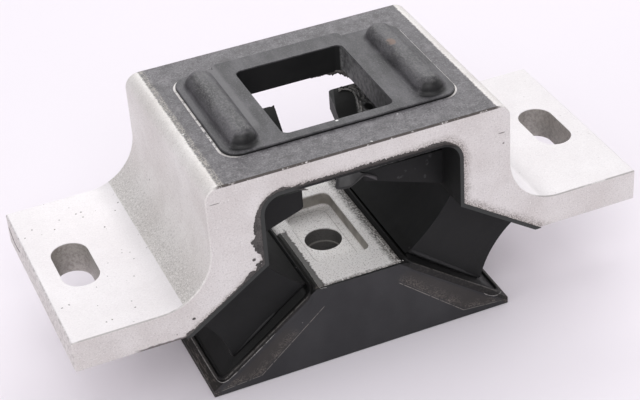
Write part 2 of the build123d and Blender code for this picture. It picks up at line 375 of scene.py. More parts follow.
    roughness = g.blend(film, g.blend(grain, 0.5, 0.72), g.blend(film_cloud, 0.4, 0.56))
    metallic = g.times(g.minus(1.0, film), g.minus(1.0, g.times(haze, 0.4)), 0.55)
    bumps = [
        (g.noise(9, detail=3, shift=71), 0.25), (grain, 0.09), (fine, 0.03),
        (g.times(pits, -1.0), 0.12), (film, 0.05),
    ]
    return g.finish(roughness, metallic, bumps, specular=0.5)


def core_aluminium():
    """Coarser blasted casting, with rubber haze and a torn adhesive strip at its edges."""
    g = Graph("core_aluminium")
    cloud = g.noise(14, detail=4, shift=5)
    grain = g.noise(0.52, detail=3, roughness=0.75, shift=9)
    g.color = g.mix(g.ramp(cloud, 0.3, 0.7), (0.95, 0.915, 0.9), (1.0, 0.975, 0.96))
    g.paint((0.33, 0.295, 0.28), g.ramp(grain, 0.53, 0.63), 0.62)
    g.paint((0.97, 0.96, 0.95), g.ramp(grain, 0.46, 0.34), 0.85)

    # Grey rubber strip along the top's left edge, a painted shadow on the left side, haze at the
    # right and the front
    wander = g.sway(3.0, 2.4, detail=4, roughness=0.65, shift=13)
    near_left = g.plus(g.x, wander)
    near_right = g.minus(g.x, wander)
    near_front = g.plus(g.y, wander)
    on_top = g.ramp(g.z, CORE_TOP - 0.9, CORE_TOP - 0.5)
    strip = g.times(on_top, g.ramp(near_left, -12.5, -12.9), g.ramp(g.y, 3.3, 2.7))
    g.paint((0.16, 0.155, 0.15), strip)
    torn_edge = g.window(near_left, -12.9, -12.4, 0.2)
    g.paint((0.06, 0.052, 0.046), on_top, torn_edge, g.ramp(g.y, 6.0, 3.0), 0.8)
    # The core's left side in front of y = 3 is painted near black: a painted shadow
    g.paint((0.012, 0.011, 0.01), g.ramp(g.x, -14.25, -14.45), g.ramp(near_front, 3.2, 2.7))
    thin_light = g.times(g.window(g.x, -14.32, -14.12, 0.06), g.ramp(g.y, -8.0, -2.0))
    broken = g.ramp(g.noise(1.5, detail=2, shift=27), 0.4, 0.55)
    g.paint((0.7, 0.68, 0.66), thin_light, broken, on_top, 0.8)
    front_haze = g.ramp(near_front, CORE_FRONT + 1.7, CORE_FRONT - 0.1)
    haze = g.times(on_top, g.larger(g.ramp(near_right, 11.4, 14.2), front_haze))
    g.paint((0.21, 0.185, 0.165), haze, 0.55)
    dirt = g.ramp(g.noise(0.7, detail=3, shift=17), 0.36, 0.58)
    g.paint((0.05, 0.042, 0.037), haze, dirt, 0.85)

    # The pocket's walls are smooth and painted darker in a mottled brown: painted shade with a
    # stained tint. A dark line along the floor's edge is painted shade; a few scratches. The bore
    # is painted dark as painted shade, with a pale ring at a ledge as a painted highlight
    in_pocket = g.times(g.ramp(g.absolute(g.x), 9.95, 9.75), g.ramp(g.absolute(g.y), 19.45, 19.25))
    stain_cloud = g.ramp(g.noise(4, detail=3, shift=15), 0.35, 0.65)
    wall_shade_and_stain = g.mix(stain_cloud, (0.26, 0.24, 0.205), (0.38, 0.355, 0.315))
    # Painted shade on the pocket's walls, with a stained tint
    g.paint(wall_shade_and_stain, in_pocket, g.window(g.z, 26.3, 30.5, 0.3), 0.9)
    floor_edge = box_distance(g, g.x, g.y, 7.2, 16.8, 3.0)
    # A thin dark line along the pocket floor's edge: painted shade
    floor_edge_shade = g.times(
        in_pocket, g.window(g.z, 25.4, 25.8, 0.1), g.window(floor_edge, -0.09, 0.09, 0.08)
    )
    rim_edge = box_distance(g, g.x, g.y, 9.95, 19.45, 4.0)
    rim_mark = g.times(on_top, g.window(rim_edge, -0.02, 0.14, 0.08), g.ramp(g.x, -6.0, -8.0))
    g.paint((0.2, 0.185, 0.17), g.larger(floor_edge_shade, rim_mark), 0.6)
    g.paint((0.95, 0.93, 0.91), on_top, g.spots(g.x, g.y, CORE_SCRATCHES), 0.9)
    # The bore painted dark: painted shade
    deep = g.ramp(g.z, 25.45, 25.1)
    g.paint((0.06, 0.056, 0.054), deep, 0.85)
    from_axis = g.math("SQRT", g.squares(g.x, g.y))
    # A pale ring where a ledge in the bore catches light: painted highlight
    ledge_ring_highlight = g.times(g.window(g.z, 20.0, 20.6, 0.1), g.ramp(from_axis, 7.0, 6.7))
    g.paint((0.4, 0.38, 0.36), ledge_ring_highlight, g.ramp(g.y, 0.0, 2.0), 0.8)
    rings = g.times(g.noise(0.5, detail=2, stretch=(0.2, 0.2, 6.0), shift=3), deep)
    in_bore = g.times(g.ramp(from_axis, 7.2, 6.6), deep)
    roughness = g.blend(in_bore, g.blend(grain, 0.48, 0.7), 0.34)
    metallic = g.times(g.minus(1.0, g.larger(strip, haze)), 0.12)
    bumps = [(g.noise(6, shift=29), 0.1), (grain, 0.12), (rings, 0.04), (strip, 0.1)]
    return g.finish(roughness, metallic, bumps, specular=0.5)


def slope_axes(g):
    """How far along the core's slope and how far above it a point is, in mm."""
    run = g.minus(g.absolute(g.x), CORE_TOP_HALF)
    rise = g.minus(g.z, CORE_TOP)
    along = g.minus(g.times(run, math.cos(CORE_SLOPE)), g.times(rise, math.sin(CORE_SLOPE)))
    above = g.plus(g.times(run, math.sin(CORE_SLOPE)), g.times(rise, math.cos(CORE_SLOPE)))
    return along, above


def stop_axes(g):
    """Places on the right stop's top, along its slanting tip and across it, in mm."""
    off_x = g.minus(g.x, STOP_HOLLOW[0])
    off_y = g.minus(g.y, STOP_HOLLOW[1])
    across_x = math.cos(STOP_TURN)
    across_y = math.sin(STOP_TURN)
    along = g.plus(g.times(off_x, across_y), g.times(off_y, across_x))
    across = g.minus(g.times(off_x, across_x), g.times(off_y, across_y))
    return along, across


def black_rubber():
    """Moulded rubber: matt inside, with bloom and dust on the pad and a scuffed front skin."""
    g = Graph("black_rubber")
    side = g.absolute(g.x)
    on_right = g.ramp(g.x, -1.0, 1.0)
    cloud = g.noise(12, detail=4, roughness=0.6)
    smear = g.noise(5, detail=4, roughness=0.6, stretch=(1.0, 0.35, 1.0), shift=5)
    grain = g.noise(0.5, detail=3, roughness=0.7, shift=9)
    g.color = g.mix(g.ramp(cloud, 0.3, 0.7), (0.0052, 0.0054, 0.0056), (0.0092, 0.0094, 0.0096))

    # Pad: bloom, smears, dust, worn ridges, a pale stripe, painted shade at the ridges' front ends
    # and single marks
    pad = g.ramp(g.z, PAD_TOP - 0.6, PAD_TOP - 0.2)
    g.paint(g.mix(g.ramp(smear, 0.35, 0.7), (0.038, 0.0365, 0.04), (0.098, 0.094, 0.102)), pad)
    dust = g.times(pad, g.ramp(g.noise(2.6, detail=5, roughness=0.7, shift=21), 0.6, 0.78))
    g.paint((0.19, 0.178, 0.182), dust, 0.5)
    ridge = g.ramp(g.z, PAD_TOP + 2.2, PAD_TOP + 4.2)
    ridge_cloud = g.noise(0.8, detail=4, roughness=0.65, stretch=(1, 0.55, 1), shift=25)
    g.paint((0.155, 0.15, 0.148), ridge, g.ramp(ridge_cloud, 0.44, 0.62), 0.5)
    g.paint((0.17, 0.162, 0.168), pad, g.ramp(grain, 0.46, 0.33), 0.5)
    g.paint((0.018, 0.017, 0.018), pad, g.ramp(grain, 0.54, 0.66), 0.5)
    stripe = g.times(pad, g.window(g.x, -27.0, -23.8, 0.7), g.ramp(g.y, -17.0, -12.0))
    g.paint((0.165, 0.16, 0.167), stripe, g.ramp(g.z, PAD_TOP + 1.2, PAD_TOP + 0.5), 0.55)
    # The ridges' front ends and the pad before them painted dark: painted shade
    ridge_end_shade = g.times(g.spots(g.x, g.y, RIDGE_END_SHADE), g.ramp(g.z, PAD_TOP + 4.1, PAD_TOP + 3.0))
    g.paint((0.008, 0.008, 0.008), ridge_end_shade, pad, 0.85)
    rust = g.ramp(smear, 0.4, 0.55)
    g.paint((0.21, 0.125, 0.085), pad, g.spots(g.x, g.y, PAD_RUST), rust, 0.6)
    g.paint((0.8, 0.79, 0.78), pad, g.spots(g.x, g.y, PAD_TICK), 0.9)

    # Front skin of the core: smooth and a little lighter
    along, above = slope_axes(g)
    lip_line = g.blend(on_right, 0.75, -0.35)
    skin = g.times(
        g.ramp(g.y, SKIN_FRONT + 0.5, SKIN_FRONT + 0.1),
        g.ramp(g.z, 31.5, 31.0),
        g.ramp(g.minus(above, lip_line), 0.12, -0.12),
    )
    skin_cloud = g.noise(16, detail=3, stretch=(1, 1, 0.6), shift=33)
    skin_share = g.ramp(skin_cloud, 0.3, 0.7)
    skin_color = g.mix(skin_share, (0.026, 0.026, 0.0285), (0.04, 0.0395, 0.0425))
    g.paint(skin_color, skin, 0.9)

    # Brown scuffed band between each foot's lip and a thin light line on the front skin
    wobble = g.sway(1.2, 3, detail=3, shift=37)
    falling = g.minus(-6.55, g.times(along, 0.067))
    rising = g.plus(-7.5, g.times(g.minus(along, 36.9), 0.62))
    from_line = g.minus(above, g.larger(falling, rising))
    scuff_start = g.blend(on_right, 14.0, 1.0)
    band = g.times(
        skin,
        g.ramp(g.plus(from_line, g.times(wobble, 0.4)), 0.0, 1.0),
        g.ramp(g.plus(above, wobble), -0.4, -2.2),
        g.ramp(g.plus(along, g.times(wobble, 2.0)), scuff_start, g.plus(scuff_start, 6.0)),
    )
    on_slope = g.node("ShaderNodeCombineXYZ", {0: along, 1: above, 2: g.y}).outputs[0]
    squiggle = g.noise(0.6, detail=3, stretch=(0.6, 1.0, 1.0), shift=43, place=on_slope)
    worms = g.window(squiggle, 0.475, 0.525, 0.012)
    grit = g.ramp(g.noise(0.4, detail=2, roughness=0.7, shift=44), 0.54, 0.66)
    low = g.ramp(from_line, 3.4, 0.6)
    patchy = g.ramp(g.noise(4.0, detail=2, shift=45), 0.36, 0.58)
    near_line = g.ramp(from_line, 5.0, 1.5)
    scuffs = g.times(g.larger(g.times(grit, low), g.times(worms, near_line)), patchy)
    g.paint((0.056, 0.048, 0.042), band, 0.45)
    g.paint((0.21, 0.185, 0.165), band, scuffs, 0.7)
    line = g.times(skin, g.window(from_line, -0.1, 0.1, 0.08), g.window(along, 3.5, 47.0, 0.5))
    broken = g.ramp(g.noise(1.2, detail=3, shift=47), 0.34, 0.5)
    g.paint((0.3, 0.275, 0.25), line, broken, 0.75)

    # Lips round the feet: dusty brown, with painted shade in the seat between a lip and its leg and
    # on the legs' lowest part, a broken painted highlight on the lips' crests, and painted light on
    # the right foot's outer front corner
    foot_middle = (FOOT_NEAR + FOOT_FAR) / 2
    half_length = (FOOT_FAR - FOOT_NEAR) / 2
    foot_edge = box_distance(g, g.minus(along, foot_middle), g.y, half_length, FOOT_HALF, 0.5)
    over_lip = g.minus(above, lip_line)
    on_foot = g.times(g.ramp(foot_edge, 0.4, 0.1), g.ramp(over_lip, 0.0, 0.25))
    under_top = g.ramp(above, LIP_TOP + 0.5, LIP_TOP + 0.2)
    lip = g.times(on_foot, under_top, g.ramp(foot_edge, -1.7, -1.3))
    lip_dust = g.ramp(g.noise(0.9, detail=4, roughness=0.7, shift=63), 0.46, 0.66)
    g.paint((0.0105, 0.0098, 0.0093), lip, 0.85)
    g.paint((0.055, 0.047, 0.042), lip, lip_dust, 0.35)
    g.paint((0.003, 0.0029, 0.0028), on_foot, g.ramp(along, 3.6, 2.8), 0.85)
    # Painted shade in the seat between lip and leg
    seat = g.window(above, FOOT_RIM - 0.3, LIP_TOP + 0.2, 0.15)
    g.paint((0.0016, 0.0016, 0.0016), seat, g.ramp(foot_edge, -1.15, -1.35), on_foot)
    # Painted shade on the legs' lowest part
    low_leg_shade = g.ramp(above, 4.2, 2.0)
    g.paint((0.003, 0.003, 0.003), on_foot, low_leg_shade, g.ramp(foot_edge, -1.6, -2.0), 0.5)
    # Painted highlight on the lips' crests, broken up by noise
    lip_crest_highlight = g.times(
        on_foot,
        g.window(foot_edge, -0.55, -0.1, 0.12),
        g.ramp(above, LIP_TOP - 0.4, LIP_TOP - 0.15),
        g.ramp(along, 3.0, 6.0),
    )
    crest_highlight_breaks = g.ramp(g.noise(1.6, detail=4, roughness=0.7, shift=67), 0.36, 0.52)
    g.paint((0.13, 0.122, 0.115), lip_crest_highlight, crest_highlight_breaks, 0.7)
    # Painted light on the right foot's outer front corner
    flare_painted_light = g.times(
        g.window(along, 37.2, 43.0, 0.6),
        g.ramp(g.y, -26.5, -28.5),
        g.window(above, 1.5, 3.8, 0.3),
        g.ramp(g.x, 0.0, 1.0),
        g.ramp(foot_edge, -1.5, -1.9),
    )
    g.paint((0.034, 0.035, 0.035), flare_painted_light, 0.9)

    # Scuffed brown toes
    toe = g.times(g.ramp(side, 51.8, 53.2), g.ramp(g.z, 6.5, 5.5))
    toe_cloud = g.noise(0.7, detail=4, roughness=0.7, stretch=(1, 0.15, 1), shift=71)
    g.paint((0.022, 0.018, 0.016), toe, 0.6)
    g.paint((0.16, 0.135, 0.12), toe, g.ramp(toe_cloud, 0.5, 0.64), 0.6)

    # Window walls: grey with streaks, painted lighter towards the back: painted light
    wall = g.times(
        g.ramp(side, 18.4, 19.0),
        g.ramp(side, 21.4, 21.0),
        g.window(g.z, TUNNEL_TOP - 1.0, PAD_TOP - 0.3, 0.2),
        g.ramp(g.absolute(g.y), 25.0, 24.6),
    )
    mottle = g.ramp(g.noise(1.8, detail=5, roughness=0.65, shift=73), 0.35, 0.65)
    wall_shaded_color = g.mix(mottle, (0.02, 0.02, 0.0205), (0.055, 0.055, 0.056))
    wall_lit_color = g.mix(mottle, (0.07, 0.069, 0.071), (0.18, 0.178, 0.181))
    # Painted light: the walls grow lighter towards the back
    g.paint(g.mix(g.ramp(g.y, -18.0, 14.0), wall_shaded_color, wall_lit_color), wall)

    # The lining's front face is greyer, and browner over the arch
    rim = g.times(g.ramp(g.y, BRACKET_FRONT - 0.05, BRACKET_FRONT - 0.2), g.ramp(g.z, 84.0, 83.0))
    edge = tunnel_distance(g)
    arch = g.times(g.ramp(g.z, TUNNEL_TOP - 3.5, TUNNEL_TOP - 1.5), g.ramp(g.x, -24.0, -20.0))
    deep_edge = g.plus(edge, g.sway(0.8, 1.2, detail=3, shift=49))
    tinted = g.times(rim, g.larger(g.minus(1.0, arch), g.ramp(deep_edge, -0.55, -0.3)))
    g.paint(g.mix(arch, (0.042, 0.044, 0.043), (0.058, 0.05, 0.047)), tinted, 0.9)

    # Pale spots on the right travel stop's front face
    stop_face = g.times(g.window(g.y, -26.6, -25.6, 0.2), g.ramp(g.x, 8.0, 12.0))
    pale = g.ramp(g.noise(1.0, detail=3, shift=57), 0.35, 0.6)
    g.paint((0.05, 0.05, 0.052), stop_face, g.spots(g.x, g.z, STOP_SPOTS), pale, 0.6)

    # The right stop's top, below the window: painted shade in its hollow, creased side, a painted
    # shadow and paler tip
    top_along, top_across = stop_axes(g)
    on_stop = g.times(
        g.window(g.z, STOP_TOP - 0.6, STOP_TOP + 0.4, 0.2),
        g.ramp(g.x, 6.0, 9.0),
        g.ramp(g.x, 33.4, 33.1),
        g.ramp(g.y, STOP_FRONT + 0.3, STOP_FRONT + 0.9),
    )
    # Painted shade in the hollow
    hollow = g.times(on_stop, g.window(top_across, -3.4, 3.6, 0.35))
    g.paint((0.0042, 0.0041, 0.0038), hollow, g.window(top_along, -30.0, 8.6, 0.5), 0.8)
    crease_tone = g.ramp(g.noise(0.8, detail=3, stretch=(1, 0.4, 1), shift=59), 0.35, 0.65)
    crease_color = g.mix(crease_tone, (0.05, 0.05, 0.05), (0.26, 0.255, 0.255))
    g.paint(crease_color, on_stop, g.ramp(top_across, 3.3, 3.9), 0.8)
    # A near black patch: painted shadow
    g.paint((0.001, 0.001, 0.001), on_stop, g.spots(g.x, g.y, STOP_SHADOW))
    tip_color = g.mix(g.ramp(smear, 0.35, 0.65), (0.06, 0.06, 0.061), (0.12, 0.12, 0.121))
    g.paint(tip_color, on_stop, g.ramp(top_across, -3.4, -3.8), 0.8)

    # Sparse dust and bright flecks anywhere
    g.paint((0.3, 0.29, 0.28), g.specks(4.2, 0.05, 0.22), 0.55)
    roughness = g.blend(pad, g.blend(cloud, 0.54, 0.68), g.blend(smear, 0.36, 0.5))
    roughness = g.blend(skin, roughness, g.blend(skin_cloud, 0.4, 0.5))
    roughness = g.blend(band, roughness, 0.62)
    bumps = [
        (g.noise(7, detail=2, shift=53), 0.18), (grain, 0.035),
        (g.times(scuffs, band), 0.05), (dust, 0.03),
    ]
    return g.finish(roughness, 0.0, bumps, specular=0.3)


def torn_rubber():
    """Thin torn flash: brown-grey, granular, with a few bright specks."""
    g = Graph("torn_rubber")
    cloud = g.noise(3.5, detail=4, roughness=0.6, shift=7)
    grain = g.noise(0.42, detail=3, roughness=0.7, shift=13)
    g.color = g.mix(g.ramp(cloud, 0.35, 0.65), (0.056, 0.051, 0.049), (0.092, 0.083, 0.08))
    g.paint((0.014, 0.012, 0.012), g.ramp(grain, 0.5, 0.64), 0.6)
    g.paint((0.15, 0.138, 0.132), g.ramp(grain, 0.44, 0.32), 0.7)
    g.paint((0.6, 0.57, 0.55), g.specks(1.6, 0.16, 0.28), 0.85)
    return g.finish(g.blend(cloud, 0.5, 0.66), 0.0, [(cloud, 0.06), (grain, 0.06)])


def bloomed_rubber():
    """Torn skin inside the tunnel: grey bloom with darker creases."""
    g = Graph("bloomed_rubber")
    cloud = g.noise(4.0, detail=4, roughness=0.6, shift=17)
    crease = g.noise(0.9, detail=4, roughness=0.7, stretch=(1, 0.4, 1), shift=19)
    g.color = g.mix(g.ramp(cloud, 0.3, 0.7), (0.072, 0.069, 0.071), (0.105, 0.101, 0.104))
    g.paint((0.03, 0.029, 0.029), g.ramp(crease, 0.55, 0.72), 0.4)
    return g.finish(g.blend(cloud, 0.42, 0.58), 0.0, [(cloud, 0.1), (crease, 0.05)])


def painted_highlight_rubber():
    """Rubber painted a little paler on a raised edge: a painted highlight."""
    g = Graph("painted_highlight_rubber")
    cloud = g.noise(5.0, detail=4, roughness=0.6, shift=29)
    g.color = g.mix(g.ramp(cloud, 0.3, 0.7), (0.0075, 0.0076, 0.0078), (0.013, 0.0132, 0.0135))
    grain = g.noise(0.8, detail=3, shift=31)
    return g.finish(g.blend(cloud, 0.42, 0.55), 0.0, [(grain, 0.04)])


def pale_flash(name, tone):
    """Thin flash that has turned pale along its edge, with dark breaks."""
    g = Graph(name)
    breaks = g.ramp(g.noise(1.3, detail=3, roughness=0.65, shift=23), 0.5, 0.62)
    g.color = g.mix(breaks, (tone, tone * 0.96, tone * 0.93), (0.035, 0.034, 0.033))
    return g.finish(g.blend(breaks, 0.42, 0.6), 0.0, [(breaks, 0.04)])


def floor_paper():
    """Pale lilac-white paper with a faint tooth."""
    g = Graph("floor_paper")
    g.color = g.mix(g.noise(180, detail=2), (0.845, 0.8, 0.85), (0.865, 0.815, 0.87))
    return g.finish(0.85, 0.0, [(g.noise(0.4, detail=2), 0.01)], specular=0.2)


def dress(node, material):
    """Gives a CAD object its material without touching its mesh's shape."""
    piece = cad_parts[node]
    piece.data.materials.clear()
    piece.data.materials.append(material)


dress("outer_bracket", cast_aluminium())
dress("inner_core", core_aluminium())
rubber = black_rubber()
dress("rubber_spring", rubber)


def between(a, b, share):
    return a + (b - a) * share


def ease(value, start, end):
    """0 before start, 1 after end, smooth between them."""
    share = min(max((value - start) / (end - start), 0.0), 1.0)
    return share * share * (3 - 2 * share)


def read_curve(points, place):
    """The value at a place along a list of (place, value), straight between its points."""
    for (start, low), (end, high) in zip(points, points[1:]):
        if place <= end:
            return between(low, high, (place - start) / (end - start))
    return points[-1][1]


def rough(x, y, z, size, detail=3):
    """Cloud noise from about -1 to 1 whose spots are about `size` mm across."""
    return noise.fractal(Vector((x, y, z)) / size, 0.8, 2.1, detail)


def shares(steps):
    """Even places from 0 to 1, both ends among them."""
    return [step / steps for step in range(steps + 1)]


# Cosine and sine of each corner of a round loop
CIRCLE = [(math.cos(math.tau * corner / 8), math.sin(math.tau * corner / 8)) for corner in range(8)]


def add_mesh(name, mesh, material):
    """A piece of the rubber moulding from a finished mesh."""
    mesh.shade_smooth()
    mesh.materials.append(material)
    piece = bpy.data.objects.new(name, mesh)
    bpy.context.scene.collection.objects.link(piece)
    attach(piece, "root")


def add_skin(name, loops, material):
    """A closed skin over equal loops of points in mm, capped at both ends."""
    count = len(loops[0])
    vertices = [mm(*point) for loop in loops for point in loop]
    faces = [tuple(reversed(range(count)))]
    for start in range(0, len(vertices) - count, count):
        for column in range(count):
            corner = start + column
            following = start + (column + 1) % count
            faces.append((corner, following, following + count, corner + count))
    faces.append(tuple(range(len(vertices) - count, len(vertices))))
    mesh = bpy.data.meshes.new(name)
    mesh.from_pydata(vertices, [], faces)
    mesh.validate()
    mesh.update()
    add_mesh(name, mesh, material)


# How far before and after the tunnel's foot its outline turns outwards, in mm
CORNER_BLEND = 1.7


def tunnel_point(place):
    """A point of the tunnel's outline and its normal into the metal, by the way along it.

    The way is measured in mm from the middle of the arch's top, to the right."""
    side = 1 if place >= 0 else -1
    flat = TUNNEL_HALF - TUNNEL_CORNER
    arc = TUNNEL_CORNER * math.pi / 2
    wall = TUNNEL_TOP - TUNNEL_CORNER - TUNNEL_FOOT
    way = abs(place)
    if way <= flat:
        return side * way, TUNNEL_TOP, 0.0, 1.0
    way -= flat
    if way <= arc:
        turn = way / TUNNEL_CORNER
        x = flat + TUNNEL_CORNER * math.sin(turn)
        z = TUNNEL_TOP - TUNNEL_CORNER + TUNNEL_CORNER * math.cos(turn)
        return side * x, z, side * math.sin(turn), math.cos(turn)
    way -= arc
    tilt = (math.pi / 2 - UNDERSIDE_SLOPE) * ease(way, wall - CORNER_BLEND, wall + CORNER_BLEND)
    if way <= wall:
        x = TUNNEL_HALF
        z = TUNNEL_TOP - TUNNEL_CORNER - way
    else:
        x = TUNNEL_HALF + (way - wall) * math.cos(UNDERSIDE_SLOPE)
        z = TUNNEL_FOOT - (way - wall) * math.sin(UNDERSIDE_SLOPE)
    return side * x, z, side * math.cos(tilt), math.sin(tilt)


# How far the torn film reaches beyond the tunnel's outline: (way along it, width), in mm
FILM_WIDTH = (
    (-91.0, 0.5), (-89.7, 1.3), (-87.5, 0.5), (-75.0, 0.35), (-66.0, 0.7), (-62.3, 1.8),
    (-60.6, 0.7), (-59.4, 1.5), (-57.6, 1.2), (-55.6, 0.75), (-53.0, 1.05), (-52.2, 2.1),
    (-50.3, 2.6), (-49.0, 2.3), (-48.5, 3.3), (-47.4, 3.8), (-46.5, 2.6), (-45.2, 2.0),
    (-43.8, 2.6), (-41.6, 2.4), (-39.2, 1.75), (-37.1, 1.3), (-35.3, 1.0), (-33.3, 0.8),
    (-31.1, 0.7), (-28.7, 0.95), (-26.5, 1.3), (-25.3, 0.7), (-23.6, 0.1), (-20.5, 0.0),
    (-18.0, 0.5), (-13.0, 0.55), (-4.0, 0.5), (3.0, 0.75), (10.0, 0.6), (13.0, 0.7), (19.0, 0.5),
    (22.5, 0.9), (26.0, 0.9), (29.0, 0.5), (31.0, 0.0),
)
FILM_STEP = 0.3
FILM_COLUMNS = 7


def tunnel_film():
    """Ragged torn film of rubber on the metal round the tunnel's front edge."""
    start = FILM_WIDTH[0][0]
    end = FILM_WIDTH[-1][0]
    loops = []
    for way in shares(round((end - start) / FILM_STEP)):
        place = between(start, end, way)
        x, z, normal_x, normal_z = tunnel_point(place)
        width = read_curve(FILM_WIDTH, place)
        teeth = between(1.0, 1.9, ease(place, -24.0, -16.0))
        width += teeth * (0.28 * rough(place, 3.0, 0.0, 1.6) + 0.26 * rough(place, 9.0, 0.0, 0.6))
        width = max(width, -0.15)
        loop = []
        for share in shares(FILM_COLUMNS):
            out = between(-0.3, width, share)
            height = 0.15 + 0.07 * rough(place, out, 5.0, 1.1)
            height *= 1.0 - 0.75 * ease(share, 0.8, 1.0)
            height = min(max(height, 0.03), 0.24)
            loop.append((x + normal_x * out, BRACKET_FRONT - height, z + normal_z * out))
        for out in (width, -0.3):
            loop.append((x + normal_x * out, BRACKET_FRONT + 0.15, z + normal_z * out))
        loops.append(loop)
    add_skin("tunnel_film", loops, torn)


# Crumbs on and beside the film: x, z, half width, half height
CRUMBS = (
    (-38.0, 62.4, 1.0, 0.8), (-37.0, 59.6, 0.9, 1.0), (-37.6, 61.0, 0.7, 0.6),
    (-38.4, 55.8, 0.6, 0.5), (-37.2, 53.6, 0.9, 0.6), (-36.2, 54.3, 0.6, 0.5),
    (-37.2, 65.6, 0.5, 0.6), (-36.8, 68.0, 0.6, 0.5), (-60.1, 40.4, 0.6, 0.4),
    (-35.6, 72.5, 0.5, 0.5),
)


def film_crumbs():
    """Small lumps of torn rubber that stick to the film and the casting."""
    mesh = bmesh.new()
    for x, z, half_x, half_z in CRUMBS:
        lump = bmesh.ops.create_icosphere(mesh, subdivisions=3, radius=1.0)["verts"]
        for vertex in lump:
            swell = 1.0 + 0.3 * rough(x + vertex.co.x, vertex.co.y, z + vertex.co.z, 0.8)
            depth = min(max(vertex.co.y * swell, -1.0), 1.0) * 0.16
            side_x = x + vertex.co.x * swell * half_x
            side_z = z + vertex.co.z * swell * half_z
            vertex.co = mm(side_x, BRACKET_FRONT - 0.08 + depth, side_z)
    data = bpy.data.meshes.new("film_crumbs")
    mesh.to_mesh(data)
    mesh.free()
    add_mesh("film_crumbs", data, torn)


SLIVER_STEPS = 8
SLIVER_DEPTH = 0.12


def sliver(name, base, point, thickness, material, bend=0.0, facing=(0, 1, 0)):
    """A torn spike from base to point, in mm, flat across `facing`, that bends on its way."""
    base = Vector(base)
    way = Vector(point) - base
    facing = Vector(facing)
    across = way.cross(facing).normalized()
    loops = []
    for step, share in enumerate(shares(SLIVER_STEPS)):
        centre = base + way * share + across * bend * math.sin(math.pi * share)
        half = thickness * (1 - share) ** 0.8 + 0.04
        loop = []
        for corner, (cosine, sine) in enumerate(CIRCLE):
            swell = 1 + 0.25 * rough(step, corner, thickness, 2.0)
            sideways = across * half * swell * cosine
            loop.append(centre + (sideways + facing * SLIVER_DEPTH * swell * sine))
        loops.append(loop)
    add_skin(name, loops, material)


# The torn fin on the right stop's tip: the wave of its front edge as (x, z), its place and size
FIN_WAVE = (
    (-4.9, 65.4), (-4.4, 64.3), (-3.2, 63.8), (-1.6, 63.5), (0.2, 63.5), (1.8, 64.3), (3.3, 65.5),
    (4.7, 66.4), (6.0, 66.2), (7.8, 65.0), (9.8, 63.6),
)
FIN_FRONT = -27.0
FIN_BACK = 8.0
FIN_LEVEL = 65.2
FIN_COLUMNS = 36
FIN_ROWS = 30


def stop_fin():
    """Wavy torn skin that the mould left on the right stop's tip, wide at the front."""
    loops = []
    for share in shares(FIN_ROWS):
        y = between(FIN_FRONT, FIN_BACK, share)
        left = between(FIN_WAVE[0][0], 9.2, share ** 0.9) + 0.2 * rough(0, y, 0, 5.0)
        right = between(FIN_WAVE[-1][0], 13.0, share)
        flat = ease(y, FIN_FRONT + 1.0, FIN_FRONT + 14.0)
        top = []
        bottom = []
        for across in shares(FIN_COLUMNS):
            x = between(left, right, across)
            wave = read_curve(FIN_WAVE, between(FIN_WAVE[0][0], FIN_WAVE[-1][0], across))
            z = between(wave, FIN_LEVEL, flat) + 0.07 * rough(x, y, 0, 5.0)
            half = 0.12 + 0.3 * ease(across, 0.0, 0.2) * ease(share, 0.0, 0.08)
            half += 0.4 * ease(across, 0.65, 0.85)
            bulge = 0.35 * (1 - ease(share, 0.0, 0.06)) * math.sin(math.pi * across)
            top.append((x, y - bulge, z + half))
            bottom.append((x, y, z - half))
        loops.append(top + bottom[::-1])
    add_skin("stop_fin", loops, bloomed)


# The crumpled creases beside the hollow in the right stop's top, as (x, y)
RIM_PATHS = (
    (
        (18.4, 23.7), (20.2, 24.2), (22.0, 23.2), (22.9, 21.2), (22.8, 18.8), (22.0, 15.6),
        (20.9, 12.0), (19.6, 8.6),
    ),
    ((18.9, 24.8), (21.2, 25.2), (23.4, 23.9), (24.3, 21.6), (24.2, 18.8), (23.2, 16.2)),
    ((23.0, 25.4), (25.0, 24.0), (25.9, 21.4), (25.6, 18.2), (24.4, 15.2)),
    ((22.6, 14.6), (21.9, 12.2), (20.9, 9.6), (19.7, 6.4)),
)
RIM_STEPS = 80


def smooth_path(points, share):
    """A point of a smooth curve through the points, by its share of the way."""
    place = share * (len(points) - 1)
    index = min(int(place), len(points) - 2)
    part = place - index
    before = points[max(index - 1, 0)]
    start = points[index]
    end = points[index + 1]
    after = points[min(index + 2, len(points) - 1)]
    result = []
    for a, b, c, d in zip(before, start, end, after):
        value = 2 * b + (c - a) * part
        value += (2 * a - 5 * b + 4 * c - d) * part ** 2
        value += (3 * b - a - 3 * c + d) * part ** 3
        result.append(value / 2)
    return result


def heading(points, share, reach):
    """The way along a smooth curve, from `reach` before a place on it to `reach` after it."""
    before = smooth_path(points, max(share - reach, 0.0))
    after = smooth_path(points, min(share + reach, 1.0))
    return Vector([end - start for start, end in zip(before, after)])


def stop_crease(name, path):
    """A thin crumpled crease of torn rubber on the right stop's top."""
    loops = []
    for share in shares(RIM_STEPS):
        x, y = smooth_path(path, share)
        way = heading(path, share, 0.01).normalized()
        x += 0.25 * rough(x, y, 3.0, 1.2)
        y += 0.25 * rough(x, y, 11.0, 1.2)
        fade = ease(share, 0.0, 0.12) * ease(share, 1.0, 0.88)
        width = (0.3 + 0.16 * rough(x, y, 1.0, 1.0)) * fade + 0.02
        height = (0.75 + 0.45 * rough(x, y, 7.0, 1.1)) * fade + 0.02
        loop = []
        for cosine, sine in CIRCLE:
            sideways = cosine * width
            loop.append((x + way.y * sideways, y - way.x * sideways, STOP_TOP + sine * height))
        loops.append(loop)
    add_skin(name, loops, flash)


